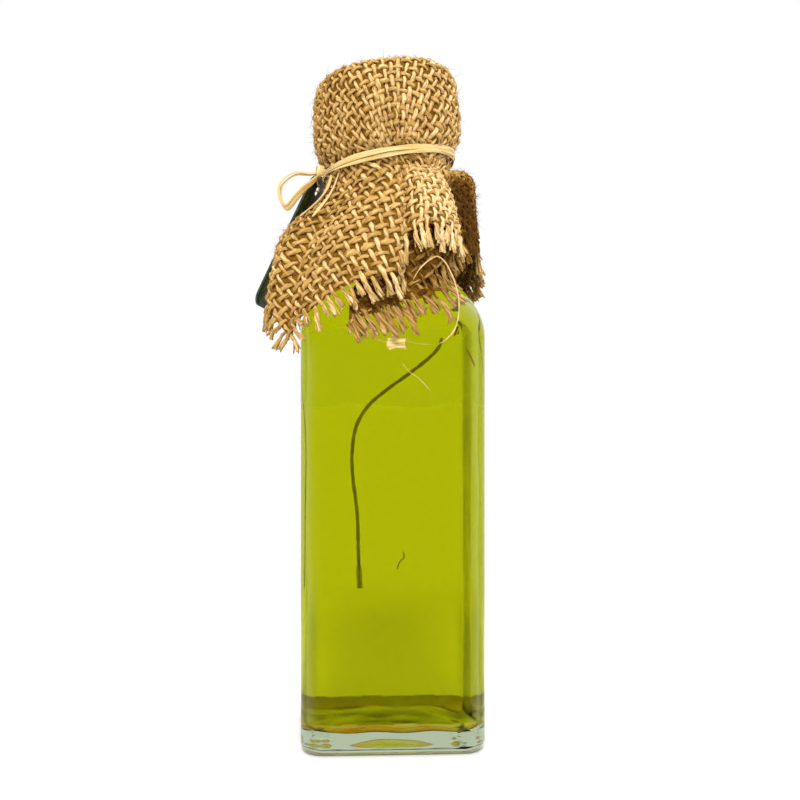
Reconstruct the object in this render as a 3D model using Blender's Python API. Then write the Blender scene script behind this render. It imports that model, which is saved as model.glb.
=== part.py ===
"""Square glass bottle of argan oil, its stopper under a square of jute cloth tied with raffia.

Metres, +Z up. The origin is the middle of the flat base, and the shown side faces -Y.
An azimuth is counted from -Y, the front, towards +X, the right.
"""
import bmesh
import bpy
import numpy as np
from math import ceil, cos, pi, radians, sin
from mathutils import Vector

MM = 0.001
GAP = 0.3 * MM

# Glass bottle of 250 ml
BODY_WIDTH = 52 * MM
BODY_CORNER = 6 * MM
WALL = 3 * MM
HEEL = 3.5 * MM
SHOULDER_START = 117 * MM
SHOULDER_RISE = 19 * MM
NECK_RADIUS = 14 * MM
NECK_BORE = 9.8 * MM
NECK_TOP = 174 * MM
NECK_FOOT = 142 * MM
LIP = 0.8 * MM
LIP_HEIGHT = 8 * MM
ROUND_AFTER = 0.7  # share of the shoulder's arc over which its square corners become a circle
FLOOR_EDGE = 6 * MM
FLOOR_HEEL = 3 * MM
FLOOR_DOME = 2.5 * MM
FLOOR_SHARES = (0.7, 0.4, 0.15)
OIL_TOP = 140 * MM
SECTION_STEPS = 6
ARC_STEPS = 7

# Stopper: a plug in the neck and a broad round head on the rim
PLUG_DEPTH = 14 * MM
HEAD_RADIUS = 18 * MM
HEAD_TOP = 196 * MM
HEAD_ROUNDING = 8 * MM
TURNED_STEPS = 40

# Square of jute cloth, laid over the stopper and tied in under it
CLOTH_HALF = 77.5 * MM
CLOTH_THICKNESS = 1.6 * MM
WAIST_RADIUS = 17.7 * MM
WAIST_HEIGHT = 165.2 * MM
CROWN = [(0.0, 198.6), (7.0, 198.5), (13.0, 197.8), (18.0, 195.2), (20.5, 190.0),
         (21.2, 183.0), (21.2, 178.0), (20.3, 173.6), (18.3, 171.2), (17.7, 169.6), (17.7, 165.2)]
CROWN_LEAN = 0.045
LEAN_FROM = 162 * MM
LEAN_REACH = 40 * MM
CROWN_TILT = 0.1
TILT_FROM = 142 * MM
TILT_REACH = 26 * MM
FRONT_SIDE = 10.0
CLOTH_LINES = 72
CROWN_SHARES = (0.15, 0.30, 0.42, 0.54, 0.64, 0.74, 0.84, 0.925, 1.0)
GATHER_FROM = 0.3  # share of the crown's path where the lines start to turn into their folds
SKIRT_RINGS = 9
STEPS_A_RING = 5
SLOPE_AT = (0.0, 12 * MM, 32 * MM, 62 * MM)
HEM_REACH = 34 * MM

# One row for each line of the skirt: its angle in the flat cloth, its azimuth at the tie and at
# the hem, and how far it leans out from straight down, in degrees, at the four depths above.
SKIRT = [
    (-80, -98, -100, 16, 24, 20, 10),
    (-62, -80, -86, 18, 48, 36, 14),
    (-53, -68, -77, 20, 46, 34, 18),
    (-46, -61, -70, 26, 44, 34, 22),
    (-41, -53, -62, 32, 40, 29, 22),
    (-35, -40, -43, 36, 33, 25, 18),
    (-29, -24, -22, 34, 28, 20, 14),
    (-25, -12, -9, 32, 26, 18, 12),
    (-20, -1, 4, 30, 26, 18, 10),
    (-8, 8, 8, 24, 16, 10, 4),
    (10, 32, 25, 34, 20, 12, 8),
    (25, 60, 46, 30, 18, 10, 4),
    (32, 72, 59, 14, 12, 10, 4),
    (41, 94, 98, 100, -6, 12, 4),
    (55, 114, 142, 58, 24, 17, 10),
    (75, 138, 150, 24, 20, 20, 12),
    (100, 155, 159, 46, 30, 16, 4),
    (122, 167, 166, 24, 18, 22, 12),
    (145, 180, 178, 54, 32, 20, 10),
    (168, 194, 191, 24, 18, 18, 12),
    (190, 208, 202, 48, 32, 14, 6),
    (212, 222, 214, 24, 18, 18, 10),
    (235, 236, 224, 50, 22, 18, 8),
    (258, 250, 246, 22, 18, 16, 8),
]

# Raffia: two turns round the waist, then an open bow loop at the left
RAFFIA_RADIUS = 0.6 * MM
RAFFIA_TURN_RADIUS = 20.1 * MM
RAFFIA_HEIGHT = 168.2 * MM
RAFFIA_PITCH = 1.35 * MM
RAFFIA_START = -64.0
RAFFIA_STEPS = 36
BOW_SPACING = 1.3 * MM
BOW = [(-23.4, -9.2, 164.6), (-28.2, -10.2, 164.6), (-32.0, -11.0, 161.8), (-32.4, -11.4, 158.2),
       (-30.6, -11.8, 155.0), (-28.0, -12.2, 157.4), (-25.2, -12.2, 160.4), (-23.0, -11.4, 162.2)]

# Card hang tag behind the left wing of the cloth
TAG_LENGTH = 44 * MM
TAG_WIDTH = 13 * MM
TAG_THICKNESS = 0.8 * MM
TAG_END_RADIUS = 4 * MM
TAG_TOP = Vector((-20.3, 9.8, 167.4)) * MM
TAG_FOOT = Vector((-39.6, 11.0, 126.5)) * MM
TAG_TURN = -65.0

# Yarn drawn out of the rear hem, hanging down behind the glass
YARN_RADIUS = 0.55 * MM
YARN_SPACING = 2.6 * MM
YARN_ROUTE = [(17.4, 32.6, 118.0), (16.4, 30.6, 115.8), (14.6, 28.8, 113.6), (11.2, 27.8, 110.6),
              (6.5, 27.4, 107.0), (0.0, 27.2, 102.4), (-6.0, 27.2, 97.2), (-9.6, 27.2, 91.0),
              (-10.8, 27.2, 83.0), (-10.6, 27.2, 75.0), (-9.4, 27.3, 64.0), (-9.0, 27.3, 52.0),
              (-8.6, 27.4, 41.0)]


def clear_scene():
    for old in list(bpy.data.objects):
        bpy.data.objects.remove(old, do_unlink=True)


def material(name, colour, roughness, transmission=0.0, ior=1.45):
    made = bpy.data.materials.new(name)
    made.use_nodes = True
    shader = made.node_tree.nodes["Principled BSDF"]
    shader.inputs["Base Color"].default_value = (*colour, 1.0)
    shader.inputs["Roughness"].default_value = roughness
    shader.inputs["Metallic"].default_value = 0.0
    shader.inputs["Transmission Weight"].default_value = transmission
    shader.inputs["IOR"].default_value = ior
    return made


def add_object(name, data, finish):
    data.materials.append(finish)
    piece = bpy.data.objects.new(name, data)
    bpy.context.scene.collection.objects.link(piece)
    return piece


def mesh_from_bmesh(name, shape, sharp_degrees=40.0):
    bmesh.ops.recalc_face_normals(shape, faces=shape.faces)
    mesh = bpy.data.meshes.new(name)
    shape.to_mesh(mesh)
    shape.free()
    mesh.shade_smooth()
    mesh.set_sharp_from_angle(angle=radians(sharp_degrees))
    return mesh


def smooth_step(value):
    value = min(max(value, 0.0), 1.0)
    return value * value * (3 - 2 * value)


def curve_points(route, spacing):
    """Points at an even spacing on a smooth curve through the route's own points."""
    route = [Vector(point) for point in route]
    ends = [2 * route[0] - route[1]] + route + [2 * route[-1] - route[-2]]
    fine = []
    for a, b, c, d in zip(ends, ends[1:], ends[2:], ends[3:]):
        for step in range(20):
            t = step / 20
            fine.append(0.5 * (2 * b + (c - a) * t + (2 * a - 5 * b + 4 * c - d) * t * t
                               + (3 * b - a - 3 * c + d) * t ** 3))
    fine.append(route[-1])
    reach = np.cumsum([0.0] + [(q - p).length for p, q in zip(fine, fine[1:])])
    count = max(2, ceil(reach[-1] / spacing) + 1)
    stops = np.linspace(0.0, reach[-1], count)
    axes = [np.interp(stops, reach, [point[axis] for point in fine]) for axis in range(3)]
    return [Vector(point) for point in zip(*axes)]


def add_tube(name, points, radius, finish):
    """A round tube with filled ends along the points."""
    curve = bpy.data.curves.new(name, "CURVE")
    curve.dimensions = "3D"
    curve.bevel_depth = radius
    curve.bevel_resolution = 2
    curve.use_fill_caps = True
    spline = curve.splines.new("POLY")
    spline.points.add(len(points) - 1)
    for slot, point in zip(spline.points, points):
        slot.co = (*point, 1.0)
    return add_object(name, curve, finish)


def square_ring(half, corner, height):
    """A square with round corners at a height; a corner as large as half makes it a circle."""
    corner = min(corner, half * 0.999)
    centre = half - corner
    ring = []
    for quarter in range(4):
        turn = radians(90 * quarter)
        centre_x = centre * (cos(turn) - sin(turn))
        centre_y = centre * (sin(turn) + cos(turn))
        for step in range(SECTION_STEPS + 1):
            angle = turn + radians(90) * step / SECTION_STEPS
            ring.append((centre_x + corner * cos(angle), centre_y + corner * sin(angle), height))
    return ring


def loft(rings):
    """A closed body from a stack of rings of equal count, with a flat face on each end."""
    shape = bmesh.new()
    layers = [[shape.verts.new(point) for point in ring] for ring in rings]
    count = len(layers[0])
    for lower, upper in zip(layers, layers[1:]):
        for i in range(count):
            j = (i + 1) % count
            shape.faces.new((lower[i], lower[j], upper[j], upper[i]))
    shape.faces.new(layers[0][::-1])
    shape.faces.new(layers[-1])
    return shape


def outer_rings():
    """The outside of the glass, from the base up to the rim."""
    half = BODY_WIDTH / 2
    rings = [square_ring(half - HEEL, BODY_CORNER - HEEL / 2, 0.0)]
    for step in range(1, 5):
        angle = radians(90) * step / 4
        inset = HEEL * (1 - sin(angle))
        rings.append(square_ring(half - inset, BODY_CORNER - inset / 2, HEEL * (1 - cos(angle))))
    for step in range(ARC_STEPS + 1):
        angle = radians(90) * step / ARC_STEPS
        size = NECK_RADIUS + (half - NECK_RADIUS) * cos(angle)
        roundness = smooth_step(step / ARC_STEPS / ROUND_AFTER)
        corner = BODY_CORNER + (size - BODY_CORNER) * roundness
        rings.append(square_ring(size, corner, SHOULDER_START + SHOULDER_RISE * sin(angle)))
    lip_foot = NECK_TOP - LIP_HEIGHT
    for height, radius in ((NECK_FOOT, NECK_RADIUS), (lip_foot - LIP, NECK_RADIUS),
                           (lip_foot, NECK_RADIUS + LIP), (NECK_TOP - LIP, NECK_RADIUS + LIP),
                           (NECK_TOP, NECK_RADIUS)):
        rings.append(square_ring(radius, radius, height))
    return rings


def inner_rings(inset, top):
    """The inside of the glass, or the oil with an inset, from the top down to the floor."""
    half = BODY_WIDTH / 2 - WALL - inset
    bore = NECK_BORE - inset
    floor = FLOOR_EDGE + inset
    corner = BODY_CORNER - WALL / 2
    rings = [square_ring(bore, bore, top)]
    for step in range(ARC_STEPS, -1, -1):
        angle = radians(90) * step / ARC_STEPS
        size = bore + (half - bore) * cos(angle)
        roundness = smooth_step(step / ARC_STEPS / ROUND_AFTER)
        height = SHOULDER_START + (SHOULDER_RISE - WALL - inset) * sin(angle)
        rings.append(square_ring(size, corner + (size - corner) * roundness, height))
    for step in range(5):
        angle = radians(90) * step / 4
        cut = FLOOR_HEEL * (1 - cos(angle))
        rings.append(square_ring(half - cut, corner - cut / 3, floor + FLOOR_HEEL * (1 - sin(angle))))
    for share in FLOOR_SHARES:
        size = (half - FLOOR_HEEL) * share
        rings.append(square_ring(size, size * (0.9 - 0.6 * share), floor + FLOOR_DOME * (1 - share ** 2)))
    return rings


def make_bottle():
    finish = material("clear bottle glass", (0.90, 0.95, 0.90), 0.02, transmission=1.0, ior=1.52)
    shape = loft(outer_rings() + inner_rings(0.0, NECK_TOP))
    return add_object("bottle", mesh_from_bmesh("bottle", shape), finish)


def make_oil():
    finish = material("argan oil", (0.42, 0.45, 0.003), 0.0, transmission=1.0, ior=1.47)
    shape = loft(inner_rings(GAP, OIL_TOP))
    return add_object("oil", mesh_from_bmesh("oil", shape), finish)


def make_stopper():
    """A turned plug and head, spun from one half profile."""
    finish = material("turned cork", (0.50, 0.32, 0.17), 0.8)
    plug = NECK_BORE - GAP
    seat = NECK_TOP + GAP
    profile = [(0.0, HEAD_TOP)]
    for step in range(6):
        angle = radians(90) * (1 - step / 5)
        profile.append((HEAD_RADIUS - HEAD_ROUNDING * (1 - cos(angle)),
                        HEAD_TOP - HEAD_ROUNDING * (1 - sin(angle))))
    profile += [(HEAD_RADIUS, seat + MM), (HEAD_RADIUS - MM, seat), (plug, seat),
                (plug, NECK_TOP - PLUG_DEPTH + MM), (plug - MM, NECK_TOP - PLUG_DEPTH),
                (0.0, NECK_TOP - PLUG_DEPTH)]
    shape = bmesh.new()
    line = [shape.verts.new((radius, 0.0, height)) for radius, height in profile]
    edges = [shape.edges.new(pair) for pair in zip(line, line[1:])]
    bmesh.ops.spin(shape, geom=line + edges, cent=(0, 0, 0), axis=(0, 0, 1), angle=2 * pi,
                   steps=TURNED_STEPS, use_merge=True)
    bmesh.ops.remove_doubles(shape, verts=shape.verts, dist=0.01 * MM)
    return add_object("stopper", mesh_from_bmesh("stopper", shape), finish)


def crown_table():
    """Path length, radius and height along a smooth curve through the crown's points."""
    route = [(-CROWN[1][0], 0.0, CROWN[1][1])] + [(r, 0.0, z) for r, z in CROWN]
    points = [p * MM for p in curve_points(route, 0.5) if p.x >= 0.0]
    path = np.cumsum([0.0] + [(q - p).length for p, q in zip(points, points[1:])])
    return path, np.array([p.x for p in points]), np.array([p.z for p in points])


def through_rows(angle, column, turn=0.0):
    """A smooth value between the skirt's rows, which close round the full circle."""
    rows = [(row[0], row[column]) for row in SKIRT]
    rows = [(a - 360, v - turn) for a, v in rows[-2:]] + rows + [(a + 360, v + turn) for a, v in rows[:3]]
    slopes = [(q[1] - p[1]) / (q[0] - p[0]) for p, q in zip(rows, rows[1:])]
    for k in range(1, len(rows) - 2):
        if rows[k][0] <= angle < rows[k + 1][0]:
            break
    span = rows[k + 1][0] - rows[k][0]
    t = (angle - rows[k][0]) / span
    leave = 0.0 if slopes[k - 1] * slopes[k] <= 0 else (slopes[k - 1] + slopes[k]) / 2
    arrive = 0.0 if slopes[k] * slopes[k + 1] <= 0 else (slopes[k] + slopes[k + 1]) / 2
    return ((1 + 2 * t) * (1 - t) ** 2 * rows[k][1] + t * (1 - t) ** 2 * span * leave
            + t * t * (3 - 2 * t) * rows[k + 1][1] + t * t * (t - 1) * span * arrive)


def lean_out(slopes, depth):
    """How far the skirt leans out at a depth under the tie, in radians."""
    for k in range(3):
        if depth < SLOPE_AT[k + 1]:
            t = smooth_step((depth - SLOPE_AT[k]) / (SLOPE_AT[k + 1] - SLOPE_AT[k]))
            return radians(slopes[k] + (slopes[k + 1] - slopes[k]) * t)
    return radians(slopes[3])


def cloth_line(flat_angle, crown):
    """The points of the cloth along one straight line from its middle to its edge."""
    path, radii, heights = crown
    waist_path = path[-1]
    from_side = radians((flat_angle - FRONT_SIDE + 45) % 90 - 45)
    reach = CLOTH_HALF / cos(from_side)
    at_tie = through_rows(flat_angle, 1, 360.0)
    at_hem = through_rows(flat_angle, 2, 360.0)
    slopes = [through_rows(flat_angle, column) for column in range(3, 7)]
    points = []
    for crown_share in CROWN_SHARES:
        along = waist_path * crown_share
        share = smooth_step((crown_share - GATHER_FROM) / (1 - GATHER_FROM))
        azimuth = flat_angle + (at_tie - flat_angle) * share
        points.append((np.interp(along, path, radii), np.interp(along, path, heights), azimuth))
    radius, height = WAIST_RADIUS, WAIST_HEIGHT
    stride = (reach - waist_path) / (SKIRT_RINGS * STEPS_A_RING)
    for ring in range(SKIRT_RINGS):
        for step in range(STEPS_A_RING):
            lean = lean_out(slopes, (ring * STEPS_A_RING + step + 0.5) * stride)
            radius += sin(lean) * stride
            height -= cos(lean) * stride
        share = smooth_step((ring + 1) * STEPS_A_RING * stride / HEM_REACH)
        points.append((radius, height, at_tie + (at_hem - at_tie) * share))
    return [lean_over(radius, height, radians(azimuth)) for radius, height, azimuth in points]


def lean_over(radius, height, azimuth):
    """A point of the cloth, with the crown leaning a little to the left as it is tied."""
    x, y = radius * sin(azimuth), -radius * cos(azimuth)
    x -= CROWN_LEAN * min(max(height - LEAN_FROM, 0.0), LEAN_REACH)
    height += CROWN_TILT * x * min(max((height - TILT_FROM) / TILT_REACH, 0.0), 1.0)
    return (x, y, height)


def make_cloth_cover():
    finish = material("jute burlap", (0.50, 0.31, 0.13), 0.95)
    crown = crown_table()
    first = SKIRT[0][0]
    lines = [cloth_line(first + 360 * i / CLOTH_LINES, crown) for i in range(CLOTH_LINES)]
    shape = bmesh.new()
    middle = shape.verts.new(lean_over(0.0, crown[2][0], 0.0))
    grid = [[shape.verts.new(point) for point in line] for line in lines]
    for i, line in enumerate(grid):
        following = grid[(i + 1) % CLOTH_LINES]
        shape.faces.new((middle, line[0], following[0]))
        for j in range(len(line) - 1):
            shape.faces.new((line[j], line[j + 1], following[j + 1], following[j]))
    piece = add_object("cloth_cover", mesh_from_bmesh("cloth_cover", shape, 80.0), finish)
    thickness = piece.modifiers.new("thickness", "SOLIDIFY")
    thickness.thickness = CLOTH_THICKNESS
    thickness.offset = 0.0
    return piece


def make_tie():
    """Two turns of raffia and the bow loop, one strand from end to end."""
    finish = material("dried raffia straw", (0.80, 0.62, 0.33), 0.6)
    turns = []
    for step in range(2 * RAFFIA_STEPS + 1):
        share = step / RAFFIA_STEPS
        azimuth = radians(RAFFIA_START + 360 * share)
        x = RAFFIA_TURN_RADIUS * sin(azimuth)
        y = -RAFFIA_TURN_RADIUS * cos(azimuth)
        turns.append(Vector((x, y, RAFFIA_HEIGHT + RAFFIA_PITCH * (share - 1) + CROWN_TILT * x)))
    bow = curve_points([turns[-1]] + [Vector(point) * MM for point in BOW], BOW_SPACING)
    return add_tube("tie", turns + bow[2:], RAFFIA_RADIUS, finish)


def make_tag():
    """A long card with round ends, hanging at a slant from the tie."""
    finish = material("dark green card", (0.016, 0.035, 0.006), 0.55)
    down = (TAG_FOOT - TAG_TOP).normalized()
    across = Vector((cos(radians(TAG_TURN)), -sin(radians(TAG_TURN)), 0.0))
    across = (across - down * across.dot(down)).normalized()
    outward = down.cross(across)
    outline = []
    for end, sign in ((TAG_END_RADIUS, -1), (TAG_LENGTH - TAG_END_RADIUS, 1)):
        for side in ((1, -1) if sign > 0 else (-1, 1)):
            for step in range(5):
                turn = radians(90) * step / 4
                along, aside = (sin(turn), cos(turn)) if side * sign > 0 else (cos(turn), sin(turn))
                outline.append((end + sign * TAG_END_RADIUS * along,
                                side * (TAG_WIDTH / 2 - TAG_END_RADIUS + TAG_END_RADIUS * aside)))
    shape = bmesh.new()
    face = shape.faces.new([shape.verts.new(TAG_TOP + down * a + across * b) for a, b in outline])
    pushed = bmesh.ops.extrude_face_region(shape, geom=[face])["geom"]
    moved = [part for part in pushed if isinstance(part, bmesh.types.BMVert)]
    bmesh.ops.translate(shape, verts=moved, vec=outward * TAG_THICKNESS)
    return add_object("tag", mesh_from_bmesh("tag", shape), finish)


def make_loose_yarn():
    finish = material("jute yarn", (0.42, 0.26, 0.10), 0.95)
    points = curve_points([Vector(point) * MM for point in YARN_ROUTE], YARN_SPACING)
    return add_tube("loose_yarn", points, YARN_RADIUS, finish)


def main():
    clear_scene()
    make_bottle()
    make_oil()
    make_stopper()
    make_cloth_cover()
    make_tie()
    make_tag()
    make_loose_yarn()


main()
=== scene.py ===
# %% [markdown]
# # A square bottle of argan oil under a jute cap
#
# The frame holds seven solids: the bottle, the oil, the stopper, the cloth cover, the tie, the tag
# and one loose yarn. This lesson dresses them one after another. The loose yarn comes first. Then
# come the clear glass, the oil in it, jute that is really woven, yarn over yarn, and last the raffia,
# the tag and the stray fibres. Sizes are in millimetres until a mesh is made, because cloth and glass
# are measured so.

from math import cos, pi, radians, sin

import bpy
import numpy as np
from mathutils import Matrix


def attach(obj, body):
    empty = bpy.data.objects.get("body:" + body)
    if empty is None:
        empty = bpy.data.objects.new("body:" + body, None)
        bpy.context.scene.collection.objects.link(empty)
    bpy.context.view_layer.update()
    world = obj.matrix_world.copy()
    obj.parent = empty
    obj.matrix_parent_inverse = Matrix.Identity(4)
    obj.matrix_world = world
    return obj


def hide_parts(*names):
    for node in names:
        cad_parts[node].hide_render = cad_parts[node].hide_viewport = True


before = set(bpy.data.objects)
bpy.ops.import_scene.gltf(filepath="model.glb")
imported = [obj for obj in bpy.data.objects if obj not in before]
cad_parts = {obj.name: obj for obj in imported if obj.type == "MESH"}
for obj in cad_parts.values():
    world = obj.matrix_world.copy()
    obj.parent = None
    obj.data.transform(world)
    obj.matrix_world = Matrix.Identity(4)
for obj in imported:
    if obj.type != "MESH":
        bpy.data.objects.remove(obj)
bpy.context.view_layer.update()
MM = 0.001
BODY = "root"
print("frame nodes:", ", ".join(sorted(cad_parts)))

# %% [markdown]
# ## Colours, nodes and meshes
#
# These helpers serve every piece. A colour is read off as sRGB and has to become linear light. One
# function adds a shader node of any kind. Most of the finishes here have one fine texture that gives
# both their colour and their relief, such as grain, pores or rubbed ink, so `grained` makes those.
# Glass and oil are clear at the surface and take their colour from the depth that light crosses.

# %% Colours, nodes and meshes
def linear(hex_colour):
    """An sRGB hex colour as linear red, green, blue and alpha."""
    parts = [int(hex_colour[i:i + 2], 16) / 255 for i in (1, 3, 5)]
    return tuple(c / 12.92 if c <= 0.04045 else ((c + 0.055) / 1.055) ** 2.4 for c in parts) + (1.0,)


def add_node(tree, kind, links=(), **settings):
    """Adds one node. A setting is one of its properties, or an input's value by its name, with _ for
    a space. A link is (output socket or plain number, name or number of this node's input)."""
    node = tree.nodes.new("ShaderNode" + kind)
    for name, value in settings.items():
        if hasattr(node, name):
            setattr(node, name, value)
        else:
            node.inputs[name.replace("_", " ")].default_value = value
    for source, target in links:
        if isinstance(source, float):
            node.inputs[target].default_value = source
        else:
            tree.links.new(source, node.inputs[target])
    return node


def new_material(name):
    """An empty material and its node tree."""
    made = bpy.data.materials.new(name)
    made.use_nodes = True
    made.node_tree.nodes.clear()
    return made, made.node_tree


def finish_material(tree, shader, depth=None):
    """The output, and for a clear body the hex colour and density of its depth."""
    output = add_node(tree, "OutputMaterial", [(shader.outputs[0], "Surface")])
    if depth:
        volume = add_node(tree, "VolumeAbsorption", Color=linear(depth[0]), Density=depth[1])
        tree.links.new(volume.outputs[0], output.inputs["Volume"])


def set_stops(ramp, stops):
    """Gives a colour ramp its stops, each a share and a hex colour, from the lowest share up."""
    elements = ramp.color_ramp.elements
    for element, (share, colour) in zip(elements, (stops[0], stops[-1])):
        element.position = share
        element.color = linear(colour)
    for share, colour in stops[1:-1]:
        elements.new(share).color = linear(colour)


def grained(name, stops, size=1.0, stretch=None, relief=None, depth=None, texture="TexNoise", detail=4.0,
            on_yarn=False, **surface):
    """A finish whose colour follows one texture, of a grain size in mm or stretched along the axes.
    Its relief is a strength and a height in mm."""
    made, tree = new_material(name)
    if on_yarn:
        where = add_node(tree, "UVMap", uv_map="yarn").outputs[0]
    else:
        where = add_node(tree, "TexCoord").outputs["Object"]
    if stretch:
        where = add_node(tree, "Mapping", [(where, "Vector")], Scale=stretch).outputs[0]
    scale = 1.0 if stretch else 1 / (size * MM)
    grain = add_node(tree, texture, [(where, "Vector")], Scale=scale, Detail=detail).outputs[0]
    ramp = add_node(tree, "ValToRGB", [(grain, "Fac")])
    set_stops(ramp, stops)
    links = [(ramp.outputs[0], "Base Color")]
    if relief:
        bump = add_node(tree, "Bump", [(grain, "Height")], Strength=relief[0], Distance=relief[1] * MM)
        links.append((bump.outputs[0], "Normal"))
    finish_material(tree, add_node(tree, "BsdfPrincipled", links, **surface), depth)
    return made


def clear_material(name, depth, **surface):
    """A clear body: smooth, see-through and coloured only by its depth."""
    made, tree = new_material(name)
    shader = add_node(tree, "BsdfPrincipled", Base_Color=(1, 1, 1, 1), Roughness=0.0, Transmission_Weight=1.0,
                      **surface)
    finish_material(tree, shader, depth)
    return made


def new_object(name, mesh, material):
    mesh.materials.append(material)
    made = bpy.data.objects.new(name, mesh)
    bpy.context.scene.collection.objects.link(made)
    return made


def new_mesh(name, points, faces, material, smooth=True):
    """A mesh object from points in millimetres."""
    mesh = bpy.data.meshes.new(name)
    mesh.from_pydata(np.asarray(points) * MM, [], faces)
    mesh.update()
    if smooth:
        mesh.shade_smooth()
        mesh.set_sharp_from_angle(angle=radians(60))
    return new_object(name, mesh, material)


def ring_faces(count, pairs):
    """Four-sided faces between pairs of rings, which have count points each."""
    return [(a * count + i, a * count + (i + 1) % count, b * count + (i + 1) % count, b * count + i)
            for a, b in pairs for i in range(count)]


print("helpers are ready, 1 mm is", MM, "of Blender's units")

# %% [markdown]
# ## Studio and camera
#
# Glass and oil show what stands behind them, so the light has to come from all round: the world is
# an even white wrap. One wide, warm sun over the camera draws the yarns. It throws the shadow of the
# cap straight back, where it is seen through the oil as a darker band. The floor's grey is chosen so
# that, lit, it is as bright as the wrap, which hides the edge between them. Close to the bottle it is
# paler, in place of the light that a real bottle gathers round its foot. The camera is level and
# stands 340 mm in front of the bottle's axis, 3 degrees to its left. Its lens is shifted a little,
# because the bottle isn't in the middle of the picture.

# %% Studio and camera
IMAGE_SIDE = 800
SENSOR = 36.0
FOCAL_PIXELS = 1134
CAMERA_DISTANCE = 340 * MM
CAMERA_HEIGHT = 99 * MM
CAMERA_AZIMUTH = radians(-3)
AXIS_COLUMN = 389.3
WRAP_BRIGHTNESS = 1.0
SUN_STRENGTH = 2.3
SUN_WIDTH = radians(14)
SUN_ANGLES = (radians(50), radians(0), radians(-3))
FLOOR_GREY = 0.715
FOOT_PAINTED_LIGHT = 0.98
FLOOR_RADIUS = 20000.0


def make_studio():
    scene = bpy.context.scene
    scene.view_settings.view_transform = "Standard"
    world = bpy.data.worlds.new("pale wrap")
    world.use_nodes = True
    scene.world = world
    background = world.node_tree.nodes["Background"]
    background.inputs["Color"].default_value = (1.0, 1.0, 1.0, 1.0)
    background.inputs["Strength"].default_value = WRAP_BRIGHTNESS

    paper, tree = new_material("studio paper")
    where = add_node(tree, "TexCoord")
    away = add_node(tree, "VectorMath", [(where.outputs["Object"], 0)], operation="LENGTH")
    # Painted light: the floor is paler close to the bottle, in place of the light that the glass would gather
    # round its foot.
    grey = add_node(tree, "MapRange", [(away.outputs["Value"], "Value")], From_Min=60 * MM,
                    From_Max=260 * MM, To_Min=FOOT_PAINTED_LIGHT, To_Max=FLOOR_GREY)
    finish_material(tree, add_node(tree, "BsdfPrincipled", [(grey.outputs[0], "Base Color")],
                                   Roughness=1.0, Specular_IOR_Level=0.0))
    angles = [2 * pi * i / 64 for i in range(64)]
    floor = new_mesh("floor", [(FLOOR_RADIUS * cos(a), FLOOR_RADIUS * sin(a), -0.1) for a in angles],
                     [tuple(range(64))], paper)

    sun = bpy.data.objects.new("sun", bpy.data.lights.new("sun", "SUN"))
    sun.data.energy = SUN_STRENGTH
    sun.data.angle = SUN_WIDTH
    sun.data.color = (1.0, 0.97, 0.92)
    sun.rotation_euler = SUN_ANGLES
    scene.collection.objects.link(sun)


def make_camera():
    camera = bpy.data.objects.new("camera", bpy.data.cameras.new("camera"))
    camera.location = (CAMERA_DISTANCE * sin(CAMERA_AZIMUTH), -CAMERA_DISTANCE * cos(CAMERA_AZIMUTH),
                       CAMERA_HEIGHT)
    camera.rotation_euler = (radians(90), 0, CAMERA_AZIMUTH)
    camera.data.sensor_width = SENSOR
    camera.data.lens = FOCAL_PIXELS * SENSOR / IMAGE_SIDE
    camera.data.shift_x = (IMAGE_SIDE / 2 - AXIS_COLUMN) / IMAGE_SIDE
    camera.data.clip_start = 0.01
    bpy.context.scene.collection.objects.link(camera)
    bpy.context.scene.camera = camera


make_studio()
make_camera()
print("camera and studio are in place")

# %% [markdown]
# ## Jute
#
# Jute is a bast fibre, spun into thick, uneven yarn and woven into open burlap: here ten yarns to
# the inch, 1.1 mm thick one way and 1.4 mm the other. A pattern on a plain sheet never looks like it,
# because the eye sees the yarns pass over and under each other, so every yarn is a real tube with
# its own slubs. Its shader adds what is finer: the twist of the fibres, which turns once in 3.4 mm,
# light and dark strands, and a faint sheen. Where fibres have come loose, light passes through.

# %% Jute yarn finish
YARN_PITCH = 2.45
WARP_RADIUS = 0.55
WEFT_RADIUS = 0.72
YARN_LAY = 3.4
JUTE_PALE = "#f4d9a4"
JUTE_LIGHT = "#dcb676"
JUTE_WARM = "#cfa662"
JUTE_MIDDLE = "#b58d4c"
JUTE_DARK = "#835b18"
JUTE_GROUND = "#4e2f04"


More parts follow.
